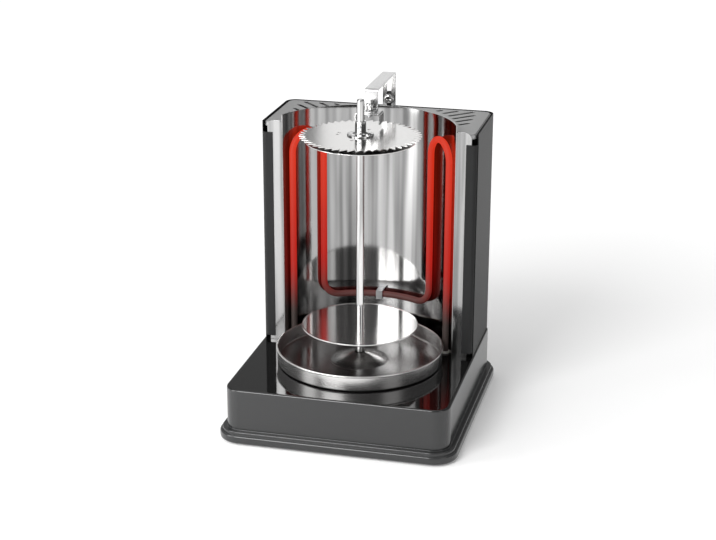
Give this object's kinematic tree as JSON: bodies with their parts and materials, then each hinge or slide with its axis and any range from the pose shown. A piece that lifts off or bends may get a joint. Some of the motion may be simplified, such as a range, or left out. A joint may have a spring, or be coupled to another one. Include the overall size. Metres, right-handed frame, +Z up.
{
  "type": "electric skewer grill",
  "caption": "Vertical electric skewer grill: turning upright skewer with round plates over a drip tray, in front of a curved reflector with a tubular heater, on a square base.",
  "frame": {"origin": "on the table, under the middle of the base", "axes": "+Z up, +Y to the back, +X to the right of someone in front of the grill"},
  "size_m": [0.288, 0.304, 0.394],
  "materials": {
    "base_plastic": "glossy dark grey moulded plastic",
    "pan_plastic": "matt black moulded plastic",
    "rubber": "matt black rubber",
    "zinc_screw": "zinc plated",
    "motor_steel": "zinc plated drawn sheet",
    "bush_plastic": "natural acetal",
    "turned_steel": "turned stainless steel",
    "tray_steel": "brushed stainless steel",
    "skewer_steel": "bright chrome-plated steel",
    "plate_steel": "polished stainless steel",
    "reflector_steel": "mirror-polished stainless sheet",
    "housing_paint": "matt dark grey paint on sheet steel",
    "cover_paint": "light grey metallic paint on sheet steel",
    "heater_sheath": "oxidised stainless sheath, glowing red",
    "ceramic": "unglazed steatite",
    "clip_steel": "plain stainless sheet",
    "strap_steel": "polished stainless strap",
    "guide_plastic": "black heat-resistant plastic",
    "switch_plastic": "black plastic",
    "terminal_plastic": "natural polyamide",
    "cutout_metal": "aluminium cap on a phenolic body"
  },
  "bodies": {
    "grill": {"base_shell": "base_plastic", "bottom_plate": "pan_plastic", "rubber_feet": "rubber", "bottom_screws": "zinc_screw", "gear_motor": "motor_steel", "motor_screws": "zinc_screw", "drive_bush": "bush_plastic", "reflector": "reflector_steel", "housing_shell": "housing_paint", "top_cover": "cover_paint", "reflector_studs": "zinc_screw", "housing_screws": "zinc_screw", "heating_element": "heater_sheath", "heater_bushings": "ceramic", "heater_clip": "clip_steel", "bracket_guide": "guide_plastic", "switch_housing": "switch_plastic", "cable_gland": "switch_plastic", "terminal_block": "terminal_plastic", "thermal_cutout": "cutout_metal"},
    "drive": {"motor_shaft": "turned_steel", "drive_coupling": "turned_steel"},
    "skewer": {"skewer_shaft": "skewer_steel", "lower_plate": "plate_steel", "plate_hub": "turned_steel"},
    "upper_disc": {"press_plate": "plate_steel", "serrated_disc": "plate_steel", "disc_spacer": "turned_steel", "disc_collar": "skewer_steel", "grub_screw": "zinc_screw"},
    "tray": {"drip_tray": "tray_steel"},
    "bracket": {"bracket_strap": "strap_steel", "yoke": "strap_steel", "yoke_nut": "zinc_screw"},
    "yoke_screw": {"yoke_thumbscrew": "skewer_steel"},
    "clamp": {"clamp_screw": "skewer_steel"},
    "rocker": {"switch_rocker": "switch_plastic"}
  },
  "joints": [
    {"name": "drive_spin", "type": "hinge", "parent": "grill", "child": "drive", "pos_m": [0, -0.015, 0.07], "axis": [0, 0, 1], "continuous": true},
    {"name": "skewer_lift", "type": "slide", "parent": "drive", "child": "skewer", "axis": [0, 0, 1], "range_m": [0, 0.004]},
    {"name": "upper_disc_slide", "type": "slide", "parent": "skewer", "child": "upper_disc", "axis": [0, 0, 1], "range_m": [-0.19, 0]},
    {"name": "tray_lift", "type": "slide", "parent": "grill", "child": "tray", "axis": [0, 0, 1], "range_m": [0, 0.02]},
    {"name": "bracket_raise", "type": "slide", "parent": "grill", "child": "bracket", "axis": [0, 0, 1], "range_m": [0, 0.03]},
    {"name": "yoke_screw_turn", "type": "hinge", "parent": "bracket", "child": "yoke_screw", "pos_m": [0, 0.028, 0.37], "axis": [0, 0, 1], "range_deg": [0, 360]},
    {"name": "clamp_turn", "type": "hinge", "parent": "grill", "child": "clamp", "pos_m": [0, 0.134, 0.359], "axis": [0, 1, 0], "range_deg": [0, 360]},
    {"name": "switch_rock", "type": "hinge", "parent": "grill", "child": "rocker", "pos_m": [-0.1345, 0.06, 0.041], "axis": [0, 1, 0], "range_deg": [0, 20]}
  ]
}
